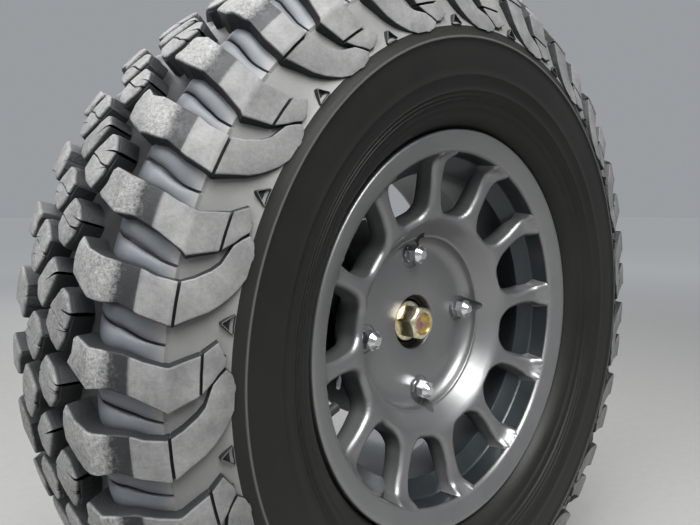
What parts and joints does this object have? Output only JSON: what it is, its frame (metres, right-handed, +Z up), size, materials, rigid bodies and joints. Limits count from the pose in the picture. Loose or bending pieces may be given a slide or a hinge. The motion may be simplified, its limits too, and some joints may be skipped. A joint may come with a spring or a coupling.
{
  "type": "utility vehicle front wheel end",
  "caption": "Off-road wheel end: lugged mud tyre on a cast wheel with rounded windows and a deep hub dish, carried by hub, bearing, disc brake, steering knuckle and drive shaft.",
  "frame": {"origin": "middle of the lower ball joint bore in the steering knuckle", "axes": "+Z up along the ball joint bores, +Y inboard along the wheel's axis, -X towards the front of the vehicle"},
  "size_m": [0.7623, 0.497, 0.7622],
  "materials": {
    "tyre_rubber": "matte, dusty on the tread",
    "wheel_paint": "satin gunmetal paint",
    "seal_rubber": "matte moulded rubber",
    "hub_steel": "machined steel",
    "fastener_steel": "plated steel",
    "nut_chrome": "bright plated",
    "disc_steel": "ground steel with turned marks",
    "yellow_zinc": "yellow zinc plating over steel",
    "shaft_steel": "black oxide steel",
    "knuckle_casting": "as cast, satin",
    "caliper_casting": "black coated casting",
    "pad_lining": "pressed friction lining on a painted plate"
  },
  "bodies": {
    "knuckle": {"steering_knuckle": "knuckle_casting", "bearing_outer_race": "hub_steel", "brake_caliper": "caliper_casting", "caliper_bolts": "fastener_steel", "inboard_brake_pad": "pad_lining", "outboard_brake_pad": "pad_lining"},
    "wheel": {"tyre": "tyre_rubber", "wheel_rim": "wheel_paint", "valve_stem": "seal_rubber", "wheel_hub": "hub_steel", "wheel_studs": "fastener_steel", "lug_nuts": "nut_chrome", "brake_disc": "disc_steel", "disc_bolts": "fastener_steel", "bearing_inner_race": "hub_steel", "outer_joint": "yellow_zinc", "axle_washer": "yellow_zinc", "axle_nut": "yellow_zinc", "joint_boot": "seal_rubber", "boot_bands": "fastener_steel", "drive_shaft": "shaft_steel"}
  },
  "joints": [
    {"name": "wheel_spin", "type": "hinge", "parent": "knuckle", "child": "wheel", "pos_m": [0, 0, 0.1], "axis": [0, 1, 0], "continuous": true}
  ]
}
